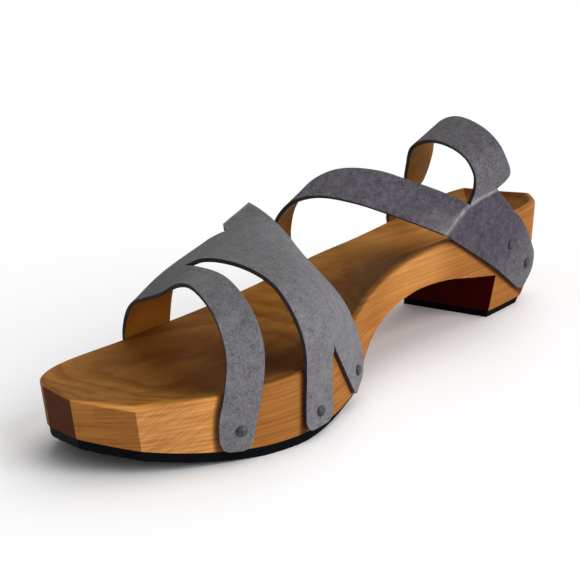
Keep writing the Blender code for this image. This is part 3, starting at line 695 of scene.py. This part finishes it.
HEEL_LEG_FRONT = (
    (22.0, "outer", 6.5), (42.0, "outer", 23.5), (58.0, "outer", 36.0), (74.0, 31.5, 47.8),
    (81.0, 22.5, 53.5), (89.0, 13.0, 59.5), (98.0, 4.0, 65.5), (108.0, -6.5, 70.0), (114.0, -16.0, 68.5),
    (116.0, -24.5, 62.0), (115.5, -31.0, 53.5),
)
HEEL_LEG_MID = ((15.0, "outer", 11.5), (31.0, "outer", 28.0), (45.0, "outer", 43.0), (59.0, 33.0, 57.0))
FRONT_BRANCH_REAR = (
    (66.0, 25.0, 63.5), (74.0, 15.0, 69.5), (83.0, 4.0, 75.5), (93.0, -8.5, 77.5), (101.0, -18.0, 73.3),
    (106.0, -25.0, 64.3), (106.0, -30.0, 54.5), (104.5, -33.0, 45.0), (103.0, "inner", 36.5),
    (101.5, "inner", 28.5),
)
LOOP_FRONT = (
    (58.5, 36.5, 64.0), (58.5, 37.0, 71.5), (58.0, 31.5, 78.0), (56.5, 20.0, 81.8), (55.0, 7.0, 81.8),
    (53.5, -5.0, 77.0), (52.5, -10.5, 67.0), (51.5, -15.5, 56.5), (50.5, -27.0, 46.0),
    (50.5, "inner", 37.0), (51.0, "inner", 27.5),
)
LOOP_REAR = (
    (9.0, "outer", 18.0), (21.0, "outer", 35.5), (31.0, "outer", 48.0), (41.8, 33.0, 59.4),
    (41.2, 38.0, 63.3), (40.7, 41.5, 67.2), (43.5, 38.5, 80.0), (42.0, 27.0, 86.8), (40.0, 10.5, 89.0),
    (38.0, -4.5, 82.5), (36.5, -10.5, 70.0), (35.0, -18.5, 58.0), (34.0, -28.0, 47.5),
    (34.0, "inner", 38.0), (35.0, "inner", 28.0),
)
# Rows where the leather is folded: over the top of the heel leg, and over the instep at the tab. The rear
# edge of the loop turns a sharp corner just above its fold.
HEEL_FOLD, TAB_FOLD, LOOP_CORNER = 3, 11, 5
# Radii of the cut corners, how far the loop's corner is rounded off, and over how many radii of its length
# a strap is drawn back behind its round end
CUT_ROUND, POINT_ROUND, CORNER_REACH, END_REACH = 4.0, 1.6, 3.6, 3.0
# A fold's share of a row's step on either side of it, and how much of its sharpness it keeps
FOLD_SHARE, FOLD_KEPT = 0.35, 0.7
# How far the painted highlight reaches from a crease, and in a patch beside it, which is weaker and fades
# across
FOLD_HIGHLIGHT_REACH, PATCH_HIGHLIGHT_REACH, PATCH_SHARE, PATCH_FADE = 1.3, 15.0, 0.6, 1.4
# How much painted shade the heel leg gets at its tip, the share of the leg where it gets whole, and
# how much the branch and the loop get beyond the fold
TIP_SHADE, TIP_SHARE, BRANCH_SHADE, LOOP_SHADE = 0.5, 0.45, 0.73, 0.4
# Cut edges are eased: width, steps, and the angle in degrees from which an edge counts as cut
EASED_EDGE, EASE_STEPS, CUT_FROM = 0.35, 2, 50.0


def wall_normal(side, x):
    """Outward direction of the sole's wall at station x."""
    reach = 2.0
    slope = (wall_y(side, x + reach) - wall_y(side, x - reach)) / (2.0 * reach)
    out = 1.0 if side == "outer" else -1.0
    lean = leaning(Vector((x, wall_y(side, x), 0.0))) / wall_top(x)
    return Vector((-slope * out, out, -lean)).normalized()


def clear_of_wood(p):
    """Keep the leather outside the wood wherever it hangs below the rim."""
    if p.z > rim_height(p.x, p.y) + OVER_RIM:
        return p
    side = "outer" if p.y > 0.5 * (wall_y("outer", p.x) + wall_y("inner", p.x)) else "inner"
    station = 2.0 * p.x - wall_point(side, p.x, p.z).x
    normal = wall_normal(side, station)
    out = (p - wall_point(side, station, p.z)).dot(normal)
    return p + normal * max(STAND_OFF - out, 0.0)


def round_corner(line, at):
    """Round off the sharp corner of a cut edge."""
    corner = line[at].copy()
    near = [k for k, p in enumerate(line) if (p - corner).length < CORNER_REACH]
    start, end = line[near[0]].copy(), line[near[-1]].copy()
    for k in near:
        t = (k - near[0]) / (near[-1] - near[0])
        line[k] = start.lerp(corner, t).lerp(corner.lerp(end, t), t)


class Strap:
    """One band of the leather: its two cut edges, how it leans across at each of them, and its painted shade
    and highlight.
    """

    def __init__(self, front_rows, rear_rows, folds=(), rear_corners=(), brushed=0.0, highlight_patch=False):
        self.brushed, self.highlight_patch = brushed, highlight_patch
        self.front = self.edge(front_rows, folds)
        self.rear = self.edge(rear_rows, folds + rear_corners)
        for row in rear_corners:
            round_corner(self.rear, row * ROW_STEPS)
        self.folds = [row * ROW_STEPS for row in folds]
        self.front_lean = [None] * len(self.front)
        self.rear_lean = [None] * len(self.rear)

    def edge(self, rows, folds):
        points = []
        for x, y, z in rows:
            if y in SIDES:
                points.append(wall_point(y, x, z) + wall_normal(y, x) * STAND_OFF)
            else:
                points.append(Vector((x, y, z)))
        return flowing_line(points, ROW_STEPS, folds)

    def rows(self):
        """Points of the band, row by row, curved across where it runs on into the next band."""
        grid = []
        for a, b, lean_a, lean_b in zip(self.front, self.rear, self.front_lean, self.rear_lean):
            lean_a, lean_b = lean_a or b - a, lean_b or b - a
            grid.append([hermite(a, b, lean_a, lean_b, k / ACROSS) for k in range(ACROSS + 1)])
        return grid


def run_on(first, first_row, second, second_row, rows):
    """Join the rear edge of one band to the front edge of the next, with the same slope across the line."""
    count = (rows - 1) * ROW_STEPS + 1
    for k in range(-ROW_STEPS, count + ROW_STEPS):
        i, j = first_row * ROW_STEPS + k, second_row * ROW_STEPS + k
        if not (0 <= i < len(first.rear) and 0 <= j < len(second.front)):
            continue
        beyond = max(-k, k - count + 1, 0)
        if beyond == 0:
            shared = (first.rear[i] + second.front[j]) * 0.5
            first.rear[i], second.front[j] = shared, shared.copy()
        ahead, behind = first.rear[i] - first.front[i], second.rear[j] - second.front[j]
        slope = (second.rear[j] - first.front[i]) / (ahead.length + behind.length)
        share = 1.0 - beyond / ROW_STEPS
        first.rear_lean[i] = ahead.lerp(slope * ahead.length, share)
        second.front_lean[j] = behind.lerp(slope * behind.length, share)


def corner_cut(distance, radius):
    """How far a round corner cuts in at some distance from the strap's edge."""
    if radius == 0.0 or distance >= radius:
        return 0.0
    return radius - math.sqrt(max(radius ** 2 - (radius - distance) ** 2, 0.0))


def round_end(grid, front_radius, rear_radius):
    """Cut the corners of the band's first row round, drawing the next rows back evenly."""
    reach = END_REACH * max(front_radius, rear_radius)
    width = (grid[0][-1] - grid[0][0]).length
    for column in range(ACROSS + 1):
        place = width * column / ACROSS
        cut = corner_cut(place, front_radius) + corner_cut(width - place, rear_radius)
        line = [row[column] for row in grid]
        lengths = lengths_along(line)
        for n, length in enumerate(lengths):
            if length >= reach:
                break
            want = cut + length * (1.0 - cut / reach)
            k = max(i for i in range(len(line) - 1) if lengths[i] <= want)
            part = (want - lengths[k]) / (lengths[k + 1] - lengths[k])
            grid[n][column] = line[k].lerp(line[k + 1], part)


def soften_fold(grid, row):
    """Give the fold the small radius that leather keeps, between two new rows. Returns the fold's new row."""
    for column in range(ACROSS + 1):
        before, at, after = (grid[k][column] for k in (row - 1, row, row + 1))
        grid[row][column] = at * FOLD_KEPT + (before + after) * (0.5 * (1.0 - FOLD_KEPT))
    above = [a.lerp(b, FOLD_SHARE) for a, b in zip(grid[row], grid[row + 1])]
    below = [a.lerp(b, FOLD_SHARE) for a, b in zip(grid[row], grid[row - 1])]
    grid[row:row + 1] = [below, grid[row], above]
    return row + 1


def fold_highlight_share(p, crease, column, highlight_patch):
    """Share of the painted highlight: along the crease, and in a patch that fades out across the strap."""
    away = (p - crease).length
    line = max(0.0, 1.0 - away / FOLD_HIGHLIGHT_REACH)
    if not highlight_patch:
        return line
    patch = max(0.0, 1.0 - away / PATCH_HIGHLIGHT_REACH) * max(0.0, 1.0 - PATCH_FADE * column / ACROSS)
    return max(line, PATCH_SHARE * patch)


def heel_shade_share(beyond_fold, row):
    """How much painted shade a heel band gets: most on the leg above its tip, less beyond its fold."""
    up_the_leg = row / (HEEL_FOLD * ROW_STEPS)
    if beyond_fold > 0.0 and up_the_leg < 1.0:
        return min(1.0, TIP_SHADE + (1.0 - TIP_SHADE) * up_the_leg / TIP_SHARE)
    return beyond_fold


def joined_bands():
    """The five bands, joined where the slits end, each with the radii of its corners."""
    front = Strap(FRONT_STRAP_FRONT, FRONT_STRAP_REAR + BALL_INNER_MID)
    second = Strap(
        SECOND_STRAP_FRONT + BALL_INNER_MID, SECOND_LEG_REAR + SECOND_STRAP_MID + BALL_INNER_REAR,
    )
    tab = Strap(
        THIRD_LEG_FRONT + SECOND_STRAP_MID + TAB_FRONT, SECOND_STRAP_REAR + WAIST_INNER_MID, (TAB_FOLD,),
    )
    branch = Strap(
        HEEL_LEG_FRONT + WAIST_INNER_MID, HEEL_LEG_MID + FRONT_BRANCH_REAR, (HEEL_FOLD,),
        brushed=BRANCH_SHADE, highlight_patch=True,
    )
    loop = Strap(
        HEEL_LEG_MID + LOOP_FRONT, LOOP_REAR, (HEEL_FOLD,), (LOOP_CORNER,), brushed=LOOP_SHADE,
    )
    run_on(front, len(FRONT_STRAP_REAR), second, len(SECOND_STRAP_FRONT), len(BALL_INNER_MID))
    run_on(second, len(SECOND_LEG_REAR), tab, len(THIRD_LEG_FRONT), len(SECOND_STRAP_MID))
    run_on(tab, len(SECOND_STRAP_REAR), branch, len(HEEL_LEG_FRONT), len(WAIST_INNER_MID))
    run_on(branch, 0, loop, 0, len(HEEL_LEG_MID))
    # Corners at the outer end, front and rear, then at the inner end, front and rear
    return (
        (front, CUT_ROUND, CUT_ROUND, CUT_ROUND, 0.0),
        (second, CUT_ROUND, CUT_ROUND, 0.0, CUT_ROUND),
        (tab, POINT_ROUND, CUT_ROUND, CUT_ROUND, 0.0),
        (branch, CUT_ROUND, 0.0, 0.0, CUT_ROUND),
        (loop, 0.0, CUT_ROUND, CUT_ROUND, CUT_ROUND),
    )


def suede_skin():
    """Outer skin of all the bands, welded where they join, marked with painted highlight along the folds and
    painted shade on the heel bands.
    """
    bm = bmesh.new()
    crease_highlight = bm.verts.layers.float.new("crease_highlight")
    brushed = bm.verts.layers.float.new("brushed")
    for strap, *radii in joined_bands():
        grid = strap.rows()
        folds = [soften_fold(grid, row) for row in strap.folds]
        round_end(grid, *radii[:2])
        grid.reverse()
        round_end(grid, *radii[2:])
        grid.reverse()
        made = []
        for n, row in enumerate(grid):
            made.append([bm.verts.new(placed(clear_of_wood(p))) for p in row])
            # Painted shade of the heel bands, row by row
            for vert in made[-1]:
                vert[brushed] = heel_shade_share(strap.brushed, n)
            # Painted highlight along each fold
            for fold in folds:
                for k, vert in enumerate(made[-1]):
                    vert[crease_highlight] = fold_highlight_share(row[k], grid[fold][k], k, strap.highlight_patch and n > fold)
        for low, high in zip(made, made[1:]):
            for k in range(ACROSS):
                bm.faces.new((low[k], low[k + 1], high[k + 1], high[k]))
    bmesh.ops.remove_doubles(bm, verts=bm.verts, dist=WELD * MM)
    return mesh_of("strap_upper", bm)


def cut_upper():
    """The skin with the leather's thickness inside it, its lining and its eased cut edges."""
    skin = suede_skin()
    skin.shade_smooth()
    made = new_piece("strap_upper", skin)
    hide = made.modifiers.new("thickness of the leather", "SOLIDIFY")
    hide.thickness = LEATHER * MM
    hide.offset = -1.0
    hide.use_even_offset = True
    hide.material_offset = 1
    hide.material_offset_rim = 2
    eased = made.modifiers.new("eased cut edge", "BEVEL")
    eased.width = EASED_EDGE * MM
    eased.segments = EASE_STEPS
    eased.limit_method = "ANGLE"
    eased.angle_limit = math.radians(CUT_FROM)
    return made


# Suede: dark and pale nap, its violet cast and the tips of its flecks. Then painted shade on the heel bands,
# mottled there, and on the faces turned up elsewhere, and a painted highlight where it is creased.
DARK_NAP, PALE_NAP = (0.060, 0.058, 0.065), (0.128, 0.124, 0.134)
VIOLET, VIOLET_SHARE, FLECK, FLECK_SHARE = (0.105, 0.088, 0.135), 0.45, (0.226, 0.221, 0.225), 0.6
HEEL_SHADE_TINT, MOTTLED, TOP_SHADE = (0.305, 0.268, 0.33), (1.75, 1.72, 1.78), (0.70, 0.70, 0.68)
TOP_SHADE_FACING = (0.3, 0.9)
FOLD_HIGHLIGHT, HIGHLIGHT_LEAST, HIGHLIGHT_IN_PATCHES = (0.42, 0.41, 0.42), 0.3, 0.4
NAP_HEIGHT, NAP_STRENGTH = 0.6, 0.7
# Lining: its tan, the bottoms between its pebbles, and painted light on the front straps and painted shade at
# the heel
DARK_TAN, PALE_TAN = (0.260, 0.100, 0.012), (0.380, 0.155, 0.022)
FRONT_LINING_LIGHT, HEEL_LINING_SHADE = (1.6, 1.6, 1.1), (0.60, 0.60, 0.45)
PEBBLE_GAP, GAP_SHARE, PEBBLE_HEIGHT = (0.14, 0.055, 0.008), 0.3, 0.15
DARK_FIBRE, PALE_FIBRE, FIBRE_LIFT, FIBRE_STRENGTH = (0.010, 0.0055, 0.004), (0.034, 0.022, 0.017), 0.3, 0.7


def grey_suede():
    """Grey nap with a violet cast, in soft patches and fine flecks, with painted shade on the heel bands and
    on faces turned up elsewhere, and a painted highlight along the folds.
    """
    made = Finish("grey suede")
    patches = made.share(made.speckle(made.place, 0.24, 4.0, 0.6), 0.35, 0.66)
    nap = made.speckle(made.place, 1.15, 6.0, 0.7)
    violet = made.share(made.speckle(made.place, 0.22), 0.42, 0.6)
    mottle = made.share(made.speckle(made.place, 0.42, 3.0, 0.6), 0.38, 0.64)
    suede = made.mixed(patches, DARK_NAP, PALE_NAP)
    suede = made.mixed(made.times(violet, VIOLET_SHARE), suede, VIOLET)
    suede = made.mixed(made.times(made.share(nap, 0.38, 0.62), FLECK_SHARE), suede, FLECK)
    # Painted shade on the heel bands, mottled there
    brushed = made.painted("brushed")
    suede = made.stained(brushed, suede, HEEL_SHADE_TINT)
    suede = made.stained(made.times(brushed, mottle), suede, MOTTLED)
    # Painted shade on faces turned up, except on the heel bands
    on_top = made.between(made.axes(made.normal)["Z"], *TOP_SHADE_FACING)
    suede = made.stained(made.times(on_top, made.sums("SUBTRACT", 1.0, brushed)), suede, TOP_SHADE)
    # Painted highlight along the folds
    highlight_strength = made.sums("ADD", made.times(patches, HIGHLIGHT_IN_PATCHES), HIGHLIGHT_LEAST)
    suede = made.mixed(made.times(made.painted("crease_highlight"), highlight_strength), suede, FOLD_HIGHLIGHT)
    made.give({"Base Color": suede, "Roughness": 0.95, "Specular IOR Level": 0.1})
    made.give({"Sheen Weight": 0.1, "Sheen Roughness": 0.6})
    made.raised(nap, NAP_HEIGHT, NAP_STRENGTH)
    return made.material


def brown_lining():
    """Smooth vegetable-tanned side of the leather, in small pebbles with a low shine, with painted light on
    the front straps and painted shade on the heel straps.
    """
    made = Finish("brown lining")
    pebble = made.add("TexVoronoi", {"Vector": made.place, "Scale": 1.4}, feature="SMOOTH_F1")
    from_middle = pebble.outputs["Distance"]
    tan = made.mixed(made.share(made.speckle(made.place, 0.07, 4.0), 0.35, 0.7), DARK_TAN, PALE_TAN)
    tan = made.mixed(made.times(from_middle, GAP_SHARE), tan, PEBBLE_GAP)
    # Painted light on the lining of the front straps, painted shade on that of the heel straps
    at_heel = made.between(made.painted("brushed"), 0.0, 0.3)
    tan = made.stained(1.0, tan, made.mixed(at_heel, FRONT_LINING_LIGHT, HEEL_LINING_SHADE))
    made.give({"Base Color": tan, "Roughness": 0.6, "Specular IOR Level": 0.25})
    made.raised(made.times(from_middle, -1.0), PEBBLE_HEIGHT)
    return made.material


def cut_edge():
    """Raw cut through the leather: dark brown fibres."""
    made = Finish("cut edge")
    fibre = made.speckle(made.place, 1.6, 4.0, 0.65)
    made.give({"Base Color": made.ramp(fibre, (0.35, DARK_FIBRE), (0.7, PALE_FIBRE)), "Roughness": 0.9})
    made.raised(fibre, FIBRE_LIFT, FIBRE_STRENGTH)
    return made.material


upper = cut_upper()
for finish in (grey_suede(), brown_lining(), cut_edge()):
    upper.data.materials.append(finish)
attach(upper, "root")
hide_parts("upper")


# Nails: low domed steel heads, one or two through each end of the leather into the wood. They are dull and
# grey, with paler scuffs where the hammer polished them.
STEEL, SCUFFED_STEEL, STEEL_SHARE = (0.034, 0.037, 0.039), (0.085, 0.090, 0.092), 0.6
STEEL_ROUGH, SCUFF_SMOOTHS, SCUFF_HEIGHT = 0.6, 0.12, 0.08


def nail_steel():
    """Dull grey steel, smoother where it is scuffed."""
    made = Finish("nail steel")
    scuff = made.share(made.speckle(made.place, 0.9, 4.0), 0.35, 0.7)
    rough = made.sums("SUBTRACT", STEEL_ROUGH, made.times(scuff, SCUFF_SMOOTHS))
    steel = made.mixed(scuff, STEEL, SCUFFED_STEEL)
    made.give({"Base Color": steel, "Roughness": rough, "Metallic": STEEL_SHARE})
    made.raised(scuff, SCUFF_HEIGHT)
    return made.material


steel = nail_steel()
for name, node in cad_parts.items():
    if name.startswith("nail_"):
        node.material_slots[0].material = steel


# Studio: a pale matt floor under a broad soft light from the outer side of the shoe, with a weaker one above.
# The long lens looks along the shoe from in front of its outer side, leaning a little to the right.
FLOOR_HALF, PAPER = 6.0, (0.93, 0.93, 0.93)
# Direction towards each light, its strength, and its spread in degrees; then the light of the whole room
SIDE_LIGHT, TOP_LIGHT = ((-0.17, 0.89, 0.43), 2.6, 42.0), ((-0.65, 0.0, 1.0), 1.7, 68.0)
ROOM_LIGHT = 0.28
# Camera: the point it turns about, its turn, rise and lean, how far away it stands and aims beside that point
MIDDLE = Vector((-0.00700, -0.00724, 0.040))
TURN, RISE, LEAN = math.radians(49.2), math.radians(17.2), math.radians(7.5)
DISTANCE = 0.80
AIM_RIGHT, AIM_DOWN = -0.0111, 0.0068
LENS, SENSOR = 119.2, 36.0


def pale_floor():
    mesh = bpy.data.meshes.new("floor")
    corners = ((-1.0, -1.0), (1.0, -1.0), (1.0, 1.0), (-1.0, 1.0))
    mesh.from_pydata([(x * FLOOR_HALF, y * FLOOR_HALF, 0.0) for x, y in corners], [], [(0, 1, 2, 3)])
    floor = new_piece("floor", mesh)
    paper = Finish("floor paper")
    paper.give({"Base Color": PAPER, "Roughness": 0.9, "Specular IOR Level": 0.1})
    mesh.materials.append(paper.material)


def soft_sun(name, towards, strength, spread):
    light = bpy.data.lights.new(name, "SUN")
    light.energy = strength
    light.angle = math.radians(spread)
    lamp = new_piece(name, light)
    lamp.rotation_euler = Vector(towards).to_track_quat("Z", "Y").to_euler()


pale_floor()
soft_sun("side_light", *SIDE_LIGHT)
soft_sun("top_light", *TOP_LIGHT)
world = bpy.data.worlds.new("studio")
bpy.context.scene.world = world
world.use_nodes = True
room = world.node_tree.nodes["Background"].inputs
room["Color"].default_value = (1.0, 1.0, 1.0, 1.0)
room["Strength"].default_value = ROOM_LIGHT
bpy.context.scene.view_settings.view_transform = "Standard"

towards = Vector((math.cos(RISE) * math.cos(TURN), math.cos(RISE) * math.sin(TURN), math.sin(RISE)))
leaning_lens = Matrix.Rotation(-LEAN, 3, "Z")
stand = towards.to_track_quat("Z", "Y").to_matrix() @ leaning_lens
aim = MIDDLE + stand @ Vector((AIM_RIGHT, -AIM_DOWN, 0.0))
eye = MIDDLE + towards * DISTANCE
lens = bpy.data.cameras.new("long_lens")
lens.lens = LENS
lens.sensor_width = SENSOR
camera = new_piece("camera", lens)
camera.location = eye
turned = (eye - aim).to_track_quat("Z", "Y").to_matrix() @ leaning_lens
camera.rotation_euler = turned.to_euler()
bpy.context.scene.camera = camera
